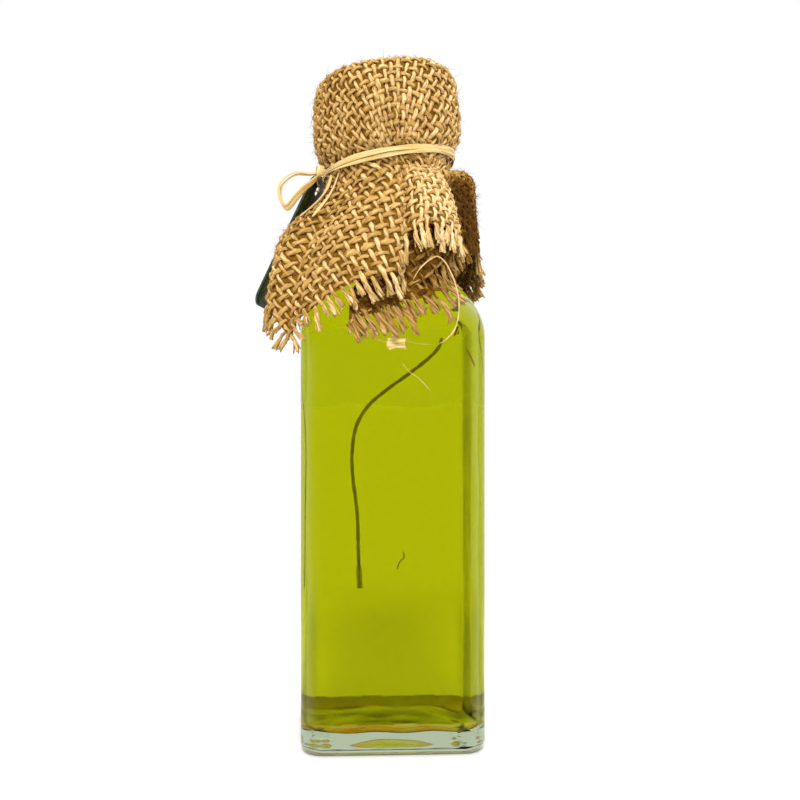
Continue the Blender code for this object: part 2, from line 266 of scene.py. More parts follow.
def jute_material(name, light, middle, alpha=1.0):
    """Spun jute. The mesh's UV map runs in millimetres along the yarn and once round it."""
    jute, tree = new_material(name)

    place = add_node(tree, "UVMap", uv_map="yarn").outputs[0]
    stretch = add_node(tree, "Mapping", [(place, "Vector")], Scale=(1 / YARN_LAY, 3.0, 1.0))
    parts = add_node(tree, "SeparateXYZ", [(stretch.outputs[0], "Vector")]).outputs
    turn = add_node(tree, "Math", [(parts["X"], 0), (parts["Y"], 1)], operation="ADD").outputs[0]
    fibre = add_node(tree, "CombineXYZ", [(turn, "X"), (parts["X"], "Y")])
    fine = add_node(tree, "Mapping", [(fibre.outputs[0], "Vector")], Scale=(7.0, 0.9, 1.0))
    strand = add_node(tree, "TexNoise", [(fine.outputs[0], "Vector")], Scale=1.0, Detail=3.0,
                      Roughness=0.6).outputs["Fac"]
    twist = add_node(tree, "Math", [(turn, 0), (0.5, 1)], operation="PINGPONG").outputs[0]
    slow = add_node(tree, "TexNoise", [(place, "Vector")], Scale=0.3, Detail=4.0).outputs["Fac"]
    # The tone carries each yarn's own tone and also the painted light and shade that the weave gives it.
    tone = add_node(tree, "Attribute", attribute_name="tone").outputs["Fac"]
    spread = add_node(tree, "Math", [(slow, 0), (tone, 1)], operation="ADD").outputs[0]
    ply = add_node(tree, "Math", [(twist, 0), (1.1, 1), (strand, 2)], operation="MULTIPLY_ADD").outputs[0]
    level = add_node(tree, "Math", [(spread, 0), (ply, 1)], operation="ADD").outputs[0]
    share = add_node(tree, "MapRange", [(level, "Value")], From_Min=0.68, From_Max=2.78).outputs[0]
    ramp = add_node(tree, "ValToRGB", [(share, "Fac")])
    set_stops(ramp, [(0.0, JUTE_GROUND), (0.25, JUTE_DARK), (0.5, JUTE_MIDDLE), (0.75, middle), (1.0, light)])
    raised = add_node(tree, "Math", [(strand, 0), (twist, 1), (0.14, 2)], operation="MULTIPLY_ADD").outputs[0]
    bump = add_node(tree, "Bump", [(raised, "Height")], Strength=0.9, Distance=0.35 * MM)
    shader = add_node(tree, "BsdfPrincipled", [(ramp.outputs[0], "Base Color"), (bump.outputs[0], "Normal")],
                      Roughness=0.85, Specular_IOR_Level=0.1, Sheen_Weight=0.08, Sheen_Roughness=0.5,
                      Sheen_Tint=linear(JUTE_LIGHT), Alpha=alpha)
    finish_material(tree, shader)
    return jute


jute_thin = jute_material("spun jute, thin yarn", JUTE_PALE, JUTE_LIGHT)
jute_thick = jute_material("spun jute, thick yarn", JUTE_PALE, JUTE_WARM)
# Jute painted dark as shade, for fibres that look dark only because they lie in shade.
jute_shadow = jute_material("spun jute, painted in shade", JUTE_DARK, JUTE_GROUND)
jute_loose = jute_material("spun jute, loosened so that light comes through", JUTE_PALE, JUTE_WARM,
                           alpha=0.55)
jute_open = jute_material("jute fibres, untwisted", JUTE_PALE, JUTE_LIGHT, alpha=0.4)
print("jute finishes: 5")

# %% [markdown]
# ## Yarns as tubes
#
# All the yarns of one direction are made at once: an array of centre lines, an array of radii, and
# for each ring of points the yarn's direction and the cloth's normal. Each vertex keeps how far
# along the yarn it is, for the twist, and each yarn keeps a tone of its own.

# %% Yarns as tubes
dice = np.random.default_rng(7)


def smooth_step(value):
    value = np.clip(value, 0.0, 1.0)
    return value * value * (3 - 2 * value)


def smooth_curve(route, spacing):
    """Points at an even spacing on a smooth curve through the route's own points."""
    route = np.asarray(route, dtype=float)
    ends = np.vstack([2 * route[0] - route[1], route, 2 * route[-1] - route[-2]])
    t = np.linspace(0, 1, 20, endpoint=False)[:, None]
    pieces = [0.5 * (2 * b + (c - a) * t + (2 * a - 5 * b + 4 * c - d) * t ** 2
                     + (3 * b - a - 3 * c + d) * t ** 3)
              for a, b, c, d in zip(ends, ends[1:], ends[2:], ends[3:])]
    fine = np.vstack(pieces + [route[-1:]])
    reach = np.concatenate([[0.0], np.cumsum(np.linalg.norm(np.diff(fine, axis=0), axis=1))])
    stops = np.linspace(0, reach[-1], int(np.ceil(reach[-1] / spacing)) + 1)
    return np.column_stack([np.interp(stops, reach, axis) for axis in fine.T])


def unit(vectors):
    return vectors / np.maximum(np.linalg.norm(vectors, axis=-1, keepdims=True), 1e-9)


def frames_along(lines, out):
    """Unit vectors across each line: one near the given outward direction and one to its side."""
    ahead = unit(np.gradient(lines, axis=1))
    side = unit(np.cross(ahead, out))
    return unit(np.cross(side, ahead)), side


def tubes(name, lines, radii, out, material, sides=6, tones=0.0, flatten=1.0, rough=0.0, crest=0.0):
    """One mesh of many tubes. lines is yarns x points x 3, radii is yarns x points. A rough tube has
    two plies that wind round each other, and lumps. A crest is painted light: it makes the outer side
    lighter in tone and the inner side darker."""
    count, length = lines.shape[:2]
    up, side = frames_along(lines, out)
    angles = 2 * pi * np.arange(sides) / sides
    ring = (up[:, :, None] * (np.cos(angles) * flatten)[:, None] + side[:, :, None] * np.sin(angles)[:, None])
    size = np.repeat(radii[:, :, None], sides, axis=2)
    if rough:
        step = np.linalg.norm(lines[:, 1:] - lines[:, :-1], axis=2).mean()
        wound = 2 * pi * np.arange(length) * step / YARN_LAY + dice.uniform(0, 2 * pi, (count, 1))
        size *= 1 + rough * np.cos(2 * (angles - wound[:, :, None])) + rough * dice.normal(0, 0.6, size.shape)
    points = (lines[:, :, None] + ring * size[..., None]).reshape(-1, 3)
    first = (np.arange(count)[:, None, None] * length + np.arange(length - 1)[:, None]) * sides
    corner = np.arange(sides)
    following = (corner + 1) % sides
    quads = np.stack([first + corner, first + following, first + following + sides, first + corner + sides],
                     axis=-1).reshape(-1, 4)
    starts = np.arange(count)[:, None] * length * sides + corner[::-1]
    ends = (np.arange(count)[:, None] + 1) * length * sides - sides + corner
    made = bpy.data.meshes.new(name)
    made.vertices.add(len(points))
    made.vertices.foreach_set("co", (points * MM).ravel())
    loops = np.concatenate([quads.ravel(), starts.ravel(), ends.ravel()])
    sizes = np.concatenate([np.full(len(quads), 4), np.full(2 * count, sides)])
    made.loops.add(len(loops))
    made.loops.foreach_set("vertex_index", loops)
    made.polygons.add(len(sizes))
    made.polygons.foreach_set("loop_start", np.concatenate([[0], np.cumsum(sizes)[:-1]]))
    made.polygons.foreach_set("loop_total", sizes)
    made.update(calc_edges=True)
    made.shade_smooth()
    steps = np.linalg.norm(np.diff(lines, axis=1), axis=2)
    reach = np.concatenate([np.zeros((count, 1)), np.cumsum(steps, axis=1)], axis=1)
    shift = dice.uniform(0, 400, (count, 1))
    along = np.repeat((reach + shift)[:, :, None], sides, axis=2).ravel()[loops]
    around = np.broadcast_to(corner / sides, (count, length, sides)).ravel()[loops].copy()
    wrap = np.zeros(len(quads) * 4, dtype=bool).reshape(-1, sides, 4)
    wrap[:, -1, 1:3] = True
    around[:len(quads) * 4][wrap.ravel()] = 1.0
    made.uv_layers.new(name="yarn").data.foreach_set("uv", np.column_stack([along, around]).ravel())
    tones = dice.uniform(0.25, 0.75, (count, 1)) + tones * np.ones((count, length))
    # The crest is painted light: lighter on the outer side of each tube and darker on its inner side.
    tones = tones[:, :, None] + crest * np.cos(angles)
    made.attributes.new("tone", "FLOAT", "POINT").data.foreach_set("value", tones.ravel())
    piece = new_object(name, made, material)
    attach(piece, BODY)
    return piece


def waves(count, length, wavelength, step):
    """Smooth random waves, one row for each yarn, between about -1 and 1."""
    at = np.arange(length) * step
    total = np.zeros((count, length))
    for octave in (1.0, 1.9, 3.1):
        total += np.sin(2 * pi * (at * octave / wavelength + dice.uniform(0, 1, (count, 1)))) / octave ** 0.7
    return total / 2.0


print("a yarn of %.1f mm turns once in %.1f mm" % (2 * WEFT_RADIUS, YARN_LAY))

# %% [markdown]
# ## The loose yarn behind the glass
#
# One yarn has come out of the rear hem. It lies on the back of the bottle and hangs down it, and is
# seen dark and bent through the oil. Its whole length shows in the photo, about 90 mm. It is limp
# and ends bare, with its last 9 mm untwisted.

# %% The loose yarn behind the glass
LOOSE_ROUTE = [(17.4, 32.6, 118.0), (16.4, 30.6, 115.8), (14.6, 28.8, 113.6), (11.2, 27.8, 110.6),
               (6.5, 27.4, 107.0), (0.0, 27.2, 102.4), (-6.0, 27.2, 97.2), (-9.6, 27.2, 91.0),
               (-10.8, 27.2, 83.0), (-10.6, 27.2, 75.0), (-9.4, 27.3, 64.0), (-9.0, 27.3, 52.0),
               (-8.6, 27.4, 41.0)]
LOOSE_RADIUS = 0.55
LOOSE_TONE = -0.1
END_POINTS = 16
END_SPREAD = (-0.75, -0.5, -0.25, 0.1, 0.3, 0.55, 0.8)
END_RADIUS = 0.13


def make_loose_yarn():
    line = smooth_curve(LOOSE_ROUTE, 0.6)
    radii = LOOSE_RADIUS * (1 + 0.14 * waves(1, len(line), 7, 0.6) + 0.08 * waves(1, len(line), 3, 0.6))
    radii *= 1 - 0.6 * smooth_step((np.arange(len(line)) - len(line) + END_POINTS) / 6)
    out = np.tile([0.0, 1.0, 0.0], (1, len(line), 1))
    piece = tubes("hanging_yarn", line[None], radii, out, jute_loose, sides=8, tones=LOOSE_TONE)
    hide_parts("loose_yarn")
    strands = len(END_SPREAD)
    split = np.repeat(line[None, -END_POINTS:], strands, axis=0)
    split[:, :, 0] += np.array(END_SPREAD)[:, None] * smooth_step(np.linspace(0, 2.5, END_POINTS))
    split[:, :, 1] += 0.1 * waves(strands, END_POINTS, 5, 0.6)
    ends = tubes("hanging_yarn_end", split, np.full((strands, END_POINTS), END_RADIUS),
                 np.tile([0.0, 1.0, 0.0], (strands, END_POINTS, 1)), jute_open, sides=5,
                 tones=LOOSE_TONE + 0.5)


make_loose_yarn()

# %% [markdown]
# ## Clear bottle glass
#
# The bottle is soda-lime glass, blown in a mould: IOR 1.52, a faint green from iron that shows in
# the thick base. It is lofted from square rings with round corners, outside up and inside down, as
# the frame's solid is, but with many more rings, so that nothing in it looks faceted through the
# oil. Blown glass isn't even: the inner wall wanders by a few tenths of a millimetre, which bends
# the edges of what is behind it. The underside is pushed up a little and has a ring of ribs.

# %% Clear bottle glass
HALF = 26.0
CORNER = 6.0
WALL = 3.0
HEEL = 3.5
SHOULDER_START = 117.0
SHOULDER_RISE = 19.0
NECK_RADIUS = 14.0
NECK_BORE = 9.8
NECK_FOOT = 142.0
BORE_FOOT = 138.0
NECK_TOP = 174.0
LIP = 0.8
LIP_HEIGHT = 8.0
ROUND_AFTER = 0.7
FLOOR_EDGE = 6.0
FLOOR_HEEL = 3.0
FLOOR_DOME = 2.5
OIL_TOP = 140.0
CORNER_STEPS = 14
SIDE_STEPS = 18
WALL_WANDER = 0.22
PUSH_UP = 0.9
RIB_HEIGHT = 0.5
RIBS = 33
GLASS_IOR = 1.52
GLASS_DEPTH_COLOUR = "#94b062"
GLASS_DENSITY = 22.0
GLASS_GLOSS = "#383838"


def square_ring(half, corner, height):
    """Points round a square with round corners; its straight sides are divided too."""
    corner = min(corner, half * 0.999)
    centre = half - corner
    turns = np.radians(np.linspace(0, 90, CORNER_STEPS + 1))
    along = np.linspace(0, 1, SIDE_STEPS + 1)[1:-1, None]
    arcs = []
    for quarter in range(4):
        turn = np.radians(90 * quarter) + turns
        middle = np.radians(90 * quarter + 45)
        arcs.append(np.column_stack([centre * 2 ** 0.5 * np.cos(middle) + corner * np.cos(turn),
                                     centre * 2 ** 0.5 * np.sin(middle) + corner * np.sin(turn)]))
    ring = np.vstack([part for arc, after in zip(arcs, arcs[1:] + arcs[:1])
                      for part in (arc, arc[-1] * (1 - along) + after[0] * along)])
    return np.column_stack([ring, np.full(len(ring), height)])


def outer_rings():
    """The outside of the glass, from the base up to the rim."""
    rings = [square_ring(size, CORNER - HEEL / 2, PUSH_UP * (1 - (size / 16.0) ** 2))
             for size in (1.0, 4.0, 7.0, 10.0, 13.0, 16.0)]
    for size, height in ((17.5, 0.0), (18.3, RIB_HEIGHT), (19.6, RIB_HEIGHT), (20.4, 0.0)):
        ring = square_ring(size, CORNER - HEEL / 2, 0.0)
        ring[:, 2] = height * (0.5 + 0.5 * np.cos(2 * pi * RIBS * np.arange(len(ring)) / len(ring)))
        rings.append(ring)
    rings.append(square_ring(HALF - HEEL, CORNER - HEEL / 2, 0.0))
    for angle in np.radians(np.linspace(0, 90, 11)[1:]):
        inset = HEEL * (1 - sin(angle))
        rings.append(square_ring(HALF - inset, CORNER - inset / 2, HEEL * (1 - cos(angle))))
    rings += [square_ring(HALF, CORNER, height) for height in np.arange(8.0, SHOULDER_START - 2, 5.0)]
    for share in np.linspace(0, 1, 25):
        size = NECK_RADIUS + (HALF - NECK_RADIUS) * cos(pi / 2 * share)
        corner = CORNER + (size - CORNER) * smooth_step(share / ROUND_AFTER)
        rings.append(square_ring(size, corner, SHOULDER_START + SHOULDER_RISE * sin(pi / 2 * share)))
    lip_foot = NECK_TOP - LIP_HEIGHT
    for height, radius in ((NECK_FOOT, NECK_RADIUS), (lip_foot - LIP, NECK_RADIUS),
                           (lip_foot, NECK_RADIUS + LIP), (NECK_TOP - LIP, NECK_RADIUS + LIP),
                           (NECK_TOP, NECK_RADIUS)):
        rings.append(square_ring(radius, radius, height))
    return rings


def inner_rings(outset, top):
    """The inside of the glass from the top down to the domed floor, or the oil that fills it."""
    half = HALF - WALL + outset
    bore = NECK_BORE + outset
    floor = FLOOR_EDGE - outset
    corner = CORNER - WALL / 2
    rings = [square_ring(bore, bore, height) for height in (top, (top + BORE_FOOT) / 2, BORE_FOOT)]
    for share in np.linspace(1, 0, 25):
        size = bore + (half - bore) * cos(pi / 2 * share)
        height = SHOULDER_START + (SHOULDER_RISE - WALL + outset) * sin(pi / 2 * share)
        rings.append(square_ring(size, corner + (size - corner) * smooth_step(share / ROUND_AFTER), height))
    rings += [square_ring(half, corner, height) for height in np.arange(113.0, 12.0, -4.0)]
    for angle in np.radians(np.linspace(0, 90, 11)):
        cut = FLOOR_HEEL * (1 - cos(angle))
        rings.append(square_ring(half - cut, corner - cut / 3, floor + FLOOR_HEEL * (1 - sin(angle))))
    for share in np.linspace(0.95, 0.03, 14):
        size = (half - FLOOR_HEEL) * share
        rings.append(square_ring(size, size * (0.9 - 0.6 * share), floor + FLOOR_DOME * (1 - share ** 2)))
    return rings


def wander(points, amount):
    """Moves points by smooth waves, as blown glass wanders, and never at the neck."""
    x, y, z = points.T
    calm = smooth_step((SHOULDER_START + SHOULDER_RISE - z) / 30)
    wave = np.sin(0.21 * x + 0.13 * z + 1.0) * np.cos(0.17 * y - 0.071 * z)
    wave += 0.6 * np.sin(0.09 * z + 0.25 * y + 2.0) * np.cos(0.31 * x)
    out = points[:, :2] / np.maximum(np.linalg.norm(points[:, :2], axis=1), 1.0)[:, None]
    moved = points.copy()
    moved[:, :2] -= out * (amount * wave * calm)[:, None]
    moved[:, 2] += amount * np.sin(0.4 * x + 0.3) * np.sin(0.37 * y) * smooth_step((12 - z) / 4)
    return moved


def loft(rings):
    """Points and faces of a closed body from rings of equal count."""
    count = len(rings[0])
    last = len(rings) - 1
    faces = ring_faces(count, zip(range(last), range(1, last + 1)))
    faces += [tuple(range(count))[::-1], tuple(range(last * count, (last + 1) * count))]
    return np.vstack(rings), faces


def make_glass():
    clear = clear_material("clear soda-lime glass", (GLASS_DEPTH_COLOUR, GLASS_DENSITY), IOR=GLASS_IOR,
                           Specular_Tint=linear(GLASS_GLOSS))
    inside = [wander(ring, WALL_WANDER) for ring in inner_rings(0.0, NECK_TOP)]
    piece = new_mesh("glass", *loft(outer_rings() + inside), clear)
    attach(piece, BODY)
    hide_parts("bottle")
    return piece


glass = make_glass()
print("glass:", len(glass.data.polygons), "faces")

# %% [markdown]
# ## Argan oil
#
# The oil is a clear liquid of IOR 1.47 that takes the blue out of the light and a little of the red
# and green. The colour comes from the depth and not from the surface, so the shader is clear and a
# volume behind it absorbs. The body reaches 0.1 mm into the glass, so no film of air shows. Its lowest
# surface, on the floor of the bottle, is tinted amber in patches: painted shade, which darkens and
# browns the band seen at the foot.

# %% Argan oil
OIL_OUTSET = 0.1
OIL_IOR = 1.47
OIL_COLOUR = "#f3f400"
OIL_DENSITY = 165.0
OIL_GLOSS = "#202020"
FOOT_SHADE_COLOUR = "#ffcf70"
FOOT_SHADE_PALE = "#fffbc8"
FOOT_SHADE_HEIGHT = 8.6


def make_oil():
    depth = (OIL_COLOUR, OIL_DENSITY)
    gloss = linear(OIL_GLOSS)
    oil = clear_material("argan oil", depth, IOR=OIL_IOR, Specular_Tint=gloss)
    # Painted shade: the faces on the floor of the bottle are tinted amber in patches, to darken and brown the
    # band at the foot.
    foot_shade = grained("argan oil, painted shade at its foot", [(0.5, FOOT_SHADE_COLOUR), (0.68, FOOT_SHADE_PALE)], size=14.0,
                      detail=3.0, depth=depth, Roughness=0.05, IOR=OIL_IOR, Specular_Tint=gloss,
                      Transmission_Weight=1.0)
    rings = [wander(ring, WALL_WANDER) for ring in inner_rings(OIL_OUTSET, OIL_TOP)]
    piece = new_mesh("oil_fill", *loft(rings[::-1]), oil)
    piece.data.materials.append(foot_shade)
    for face in piece.data.polygons:
        if face.center.z < FOOT_SHADE_HEIGHT * MM:
            face.material_index = 1
    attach(piece, BODY)
    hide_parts("oil")
    return piece


oil_fill = make_oil()
print("oil:", len(oil_fill.data.polygons), "faces")

# %% [markdown]
# ## How the square of jute hangs
#
# The cap is one square of jute, 155 mm a side, laid over the stopper and tied in under it. A cloth
# that is gathered like this is easiest to describe in lines from its middle outwards: over the
# crown, in to the waist, and then down the skirt. Each line has an angle in the flat cloth. The
# table says at which azimuth it lies halfway down the cap, at the cap's foot, under the tie and at
# the hem, how far it keeps from the glass, and how steeply it hangs. Where the azimuths turn back,
# the cloth is folded under itself: once behind the right edge of the front flap, and once under the
# fold at the front right, so that the front right corner hangs hidden behind the flap.
#
# Between the rows everything is smooth. The function `hang` takes places on the flat cloth and says
# where they are in space, so everything woven into the cloth can use it.

# %% How the square of jute hangs
CLOTH_HALF = 77.5
FRINGE = 6.0
CLOTH_OFFSET = (3.0, -2.0)
CROWN = [(0.0, 197.3), (8.0, 197.3), (14.8, 196.7), (18.7, 194.6), (20.6, 190.6), (21.0, 184.0),
         (21.0, 178.0), (20.1, 173.6), (18.3, 171.2), (17.7, 169.6), (17.7, 165.2)]
CROWN_LEAN = 0.045
LEAN_FROM = 162.0
LEAN_REACH = 40.0
CROWN_TILT = 0.1
TILT_FROM = 142.0
TILT_REACH = 26.0

# One row for each line, in degrees and millimetres: its angle in the flat cloth; its azimuth at the
# four stations; how far it keeps from the glass; how far it leans out from straight down at the
# four depths below the tie; and how long it hangs for each millimetre of cloth, which is less than
# one where the weave is pulled open sideways.
ROWS = np.array([
    (-84, -84, -92, -104, -112, 1.6, 16, 24, 20, 10, 1.0),
    (-66, -67, -73, -84, -100, 2.6, 15, 54, 8, 15, 1.0),
    (-56, -57, -60, -66, -84, 2.6, 15, 53, 8, 12, 1.0),
    (-50, -50, -51, -52, -68, 2.4, 17, 46, 18, -2, 1.0),
    (-45.4, -45, -45, -40, -55, 2.2, 20, 29, 19, 6, 0.97),
    (-41, -40, -39, -28, -42, 2.6, 24, 29, 17, 6, 0.94),
    (-36, -35, -32, -13, -27, 3.4, 28, 28, 14, 6, 0.95),
    (-31, -29, -25, 1, -12, 4.2, 30, 25, 12, 6, 1.0),
    (-26.5, -24, -18, 12, 2, 4.6, 30, 22, 10, 6, 1.04),
    (-25, -22, -16, 14, 5, 4.2, 28, 20, 10, 6, 1.0),
    (-23, -20, -15, 13, 3, 3.2, 24, 18, 10, 6, 1.0),
    (-13, -10, -7, 5, -14, 2.6, 16, 16, 10, 6, 1.0),
    (-5, -3, 0, 8, 2, 2.6, 24, 20, 14, 6, 1.0),
    (-2, 0, 3, 12, 8, 4.4, 42, 30, 16, 6, 1.0),
    (1, 3, 5, 17, 14, 5.6, 52, 34, 18, 6, 0.98),
    (9, 9, 9, 31, 30, 5.6, 52, 32, 16, 6, 0.94),
    (16, 15.5, 13, 44, 42, 5.2, 44, 26, 12, 6, 0.88),
    (19, 18, 15, 48, 45, 4.2, 30, 18, 10, 4, 0.9),
    (22, 21.5, 18, 47, 42, 3.2, 14, 12, 8, 4, 1.04),
    (29, 30, 28, 41, 22, 2.2, 8, 12, 10, 6, 1.12),
    (35, 38, 38, 35, 0, 1.8, 6, 12, 10, 6, 1.03),
    (42.2, 48, 50, 31, -24, 1.4, 6, 12, 10, 6, 0.92),
    (49, 56, 60, 35, -8, 1.0, 10, 14, 10, 8, 1.04),
    (57, 65, 71, 44, 20, 1.0, 16, 16, 10, 6, 1.08),
    (68, 78, 84, 58, 48, 1.0, 20, 14, 10, 4, 1.0),
    (80, 91, 96, 74, 69, 1.0, 50, 14, 8, 4, 1.0),
    (92, 103, 107, 87, 81, 2.5, 98, 0, 10, 4, 1.0),
    (106, 115, 117, 96, 92, 2.5, 102, 2, 10, 6, 1.0),
    (119, 126, 127, 104, 103, 2.5, 100, 2, 16, 6, 1.0),
    (127, 134, 134, 112, 116, 2.2, 90, 4, 16, 4, 1.0),
    (135.4, 141, 141, 122, 141, 1.6, 60, 18, 18, 8, 0.96),
    (145, 150, 150, 136, 152, 1.6, 50, 24, 17, 8, 1.0),
    (156, 159, 159, 148, 160, 1.6, 36, 22, 18, 10, 1.0),
    (168, 168, 168, 161, 169, 1.6, 24, 18, 18, 10, 1.0),
    (190, 187, 186, 182, 181, 1.6, 48, 30, 14, 6, 1.0),
    (209, 205, 203, 200, 195, 1.6, 24, 18, 18, 8, 1.0),
    (228, 226, 223, 218, 214, 1.6, 48, 30, 22, 12, 0.82),
    (252, 252, 248, 238, 232, 1.6, 22, 18, 16, 8, 1.0)], dtype=float)
STATIONS = (12.0, 30.0, 41.0, 52.0, 82.0)
SLOPE_AT = (0.0, 12.0, 32.0, 62.0)
FIRST_LINE = ROWS[0, 0]
LINES = 2880
PATH_STEP = 0.5
DEEPEST = 78.0
PLEATS_A_TURN = 8
PLEAT_PHASE = 100.0
PLEAT_DEPTH = 7.5
GATHERS = 31
GATHER_DEPTH = 0.7

# How much darker the yarns are painted, as painted shade: where the cloth is folded under, less at its
# frayed edge, which is painted lighter; on the rear right; in the gathers over the tie; and at the left.
# The fold at the front right is painted paler, as painted light.
FOLDED_SHADE = 0.9
FRAYED_LIGHT = 0.6
BEHIND_SHADE = 1.15
GATHERED_SHADE = 0.3
LEFT_SHADE = 0.22
FOLD_SHADE = -0.22


def smooth_through(at, values, places):
    """Values at the places on smooth curves through the given ones, which never overshoot them."""
    at = np.asarray(at, float)
    values = np.asarray(values, float)
    slope = np.diff(values, axis=0) / np.diff(at)[:, None]
    product = slope[:-1] * slope[1:]
    total = slope[:-1] + slope[1:]
    tangent = np.zeros_like(values)
    tangent[1:-1] = np.where(product > 0, 2 * product / np.where(total == 0, 1, total), 0.0)
    places = np.clip(places, at[0], at[-1])
    k = np.clip(np.searchsorted(at, places, side="right") - 1, 0, len(at) - 2)
    span = (at[k + 1] - at[k])[:, None]
    s = (places - at[k])[:, None] / span
    return ((1 + 2 * s) * (1 - s) ** 2 * values[k] + s * (1 - s) ** 2 * span * tangent[k]
            + s * s * (3 - 2 * s) * values[k + 1] + s * s * (s - 1) * span * tangent[k + 1])


def glass_radius(azimuth, height):
    """How far the outside of the glass is from its axis in a direction at a height."""
    rise = np.clip((height - SHOULDER_START) / SHOULDER_RISE, 0, 1)
    share = np.arcsin(rise) / (pi / 2)
    size = NECK_RADIUS + (HALF - NECK_RADIUS) * np.cos(pi / 2 * share)
    corner = np.minimum(CORNER + (size - CORNER) * smooth_step(share / ROUND_AFTER), size)
    side = np.maximum(np.abs(np.cos(azimuth)), np.abs(np.sin(azimuth)))
    other = np.minimum(np.abs(np.cos(azimuth)), np.abs(np.sin(azimuth)))
    inner = size - corner
    round_part = inner * (side + other) + np.sqrt(np.maximum(corner ** 2 - (inner * (side - other)) ** 2, 0))
    return np.where(size / side * other <= inner, size / side, round_part)


def hang_table():
    """Azimuth, radius and height for each line of the cloth at each length of path along it."""
    crown = smooth_curve([(-CROWN[1][0], CROWN[1][1])] + CROWN, 0.25)
    crown = crown[crown[:, 0] >= 0]
    path = np.concatenate([[0.0], np.cumsum(np.linalg.norm(np.diff(crown, axis=0), axis=1))])
    waist = path[-1]
    turn = np.zeros(ROWS.shape[1])
    turn[:5] = 360.0
    rows = np.vstack([ROWS[-2:] - turn, ROWS, ROWS[:3] + turn])
    flat = FIRST_LINE + 360 * np.arange(LINES + 1) / LINES
    lines = smooth_through(rows[:, 0], rows, flat)
    reach = np.arange(0, waist + DEEPEST, PATH_STEP)
    depth = np.maximum(reach - waist, 0)

    stations = np.array([0.0, *STATIONS, 200.0])
    own = flat[:, None]
    azimuth = smooth_through(stations, np.hstack([own, own, lines[:, 1:5], lines[:, 4:5]]).T, reach).T

    lean = np.radians(smooth_through(np.array(SLOPE_AT), lines[:, 6:10].T, depth).T)
    step = np.diff(depth, prepend=0.0) * lines[:, 10:11]
    on_crown = reach < waist
    radius = crown[-1, 0] + np.cumsum(np.sin(lean) * step, axis=1)
    height = crown[-1, 1] - np.cumsum(np.cos(lean) * step, axis=1)
    gathered = smooth_step((flat - 122) / 24) * smooth_step((276 - flat) / 18)
    pleat = gathered * np.cos(np.radians(PLEATS_A_TURN * (flat - PLEAT_PHASE)))
    radius += PLEAT_DEPTH * pleat[:, None] * smooth_step(depth / 30)
    radius[:, on_crown] = np.interp(reach[on_crown], path, crown[:, 0])
    height[:, on_crown] = np.interp(reach[on_crown], path, crown[:, 1])
    fine = np.cos(np.radians(GATHERS * flat) + 1.3 * np.sin(np.radians(7 * flat)))
    fine *= 0.6 + 0.4 * np.sin(np.radians(11 * flat + 40))
    radius += (GATHER_DEPTH * fine[:, None] * smooth_step((reach - 24) / 16)
               * smooth_step((waist + 16 - reach) / 14))
    azimuth = np.radians(azimuth)
    clear = 0.6 + lines[:, 5:6] * smooth_step(depth / 8)
    radius = np.where(on_crown, radius, np.maximum(radius, glass_radius(azimuth, height) + clear))
    return waist, np.stack([azimuth, radius, height], axis=-1)


WAIST_PATH, HANG = hang_table()


def hang(u, v):
    """Where the cloth's flat places u, v are in space, in millimetres; v points to the shown side."""
    u, v = np.broadcast_arrays(u - CLOTH_OFFSET[0], v - CLOTH_OFFSET[1])
    line = (np.degrees(np.arctan2(u, v)) - FIRST_LINE) % 360 / 360 * LINES
    row = np.minimum(line.astype(int), LINES - 1)
    s = (line - row)[..., None]
    deep = np.clip(np.hypot(u, v) / PATH_STEP, 0, HANG.shape[1] - 2)
    column = deep.astype(int)
    d = (deep - column)[..., None]
    near = HANG[row, column] * (1 - d) + HANG[row, column + 1] * d
    far = HANG[row + 1, column] * (1 - d) + HANG[row + 1, column + 1] * d
    azimuth, radius, height = np.moveaxis(near * (1 - s) + far * s, -1, 0)
    x = radius * np.sin(azimuth) - CROWN_LEAN * np.clip(height - LEAN_FROM, 0, LEAN_REACH)
    y = -radius * np.cos(azimuth)
    z = height + CROWN_TILT * x * np.clip((height - TILT_FROM) / TILT_REACH, 0, 1)
    return np.stack([x, y, z], axis=-1)


def in_shade(u, v):
    """How much painted shade a place on the flat cloth gets: inside the folds and on the side turned from
    the light. On the fold at the front right it is less than none, which is painted light.
    """
    frayed = smooth_step((np.maximum(np.abs(u), np.abs(v)) - CLOTH_HALF + 8) / 6)
    u, v = u - CLOTH_OFFSET[0], v - CLOTH_OFFSET[1]
    line = (np.degrees(np.arctan2(u, v)) + 100) % 360 - 100
    path = np.hypot(u, v)
    below = smooth_step((path - WAIST_PATH) / 8)
    folded = smooth_step((line - 21) / 3) * smooth_step((88 - line) / 10)
    behind = smooth_step((line - 60) / 10) * smooth_step((150 - line) / 14)
    behind *= 1 - 0.8 * smooth_step((path - 72) / 8)
    under = smooth_step((line + 25) / 2) * smooth_step((-3 - line) / 2)
    left = smooth_step((-20 - line) / 30)
    fold = below * smooth_step((line + 3) / 3) * smooth_step((21 - line) / 3)
    gathered = smooth_step((line + 16) / 12) * smooth_step((24 - line) / 12)
    gathered *= smooth_step((path - 30) / 6) * smooth_step((WAIST_PATH + 2 - path) / 4)
    below_shade = FOLDED_SHADE * np.maximum(folded, under) * (1 - FRAYED_LIGHT * frayed)
    return (below * (below_shade + BEHIND_SHADE * behind) + LEFT_SHADE * left
            + FOLD_SHADE * fold + GATHERED_SHADE * gathered)


def face_out(u, v, reach=0.7):
    """The outward normal of the hanging cloth, which looks in again where it is folded back."""
    across = hang(u + reach, v) - hang(u - reach, v)
    down = hang(u, v + reach) - hang(u, v - reach)
    return unit(np.cross(down, across))


print("cloth path from the middle to the tie: %.1f mm" % WAIST_PATH)

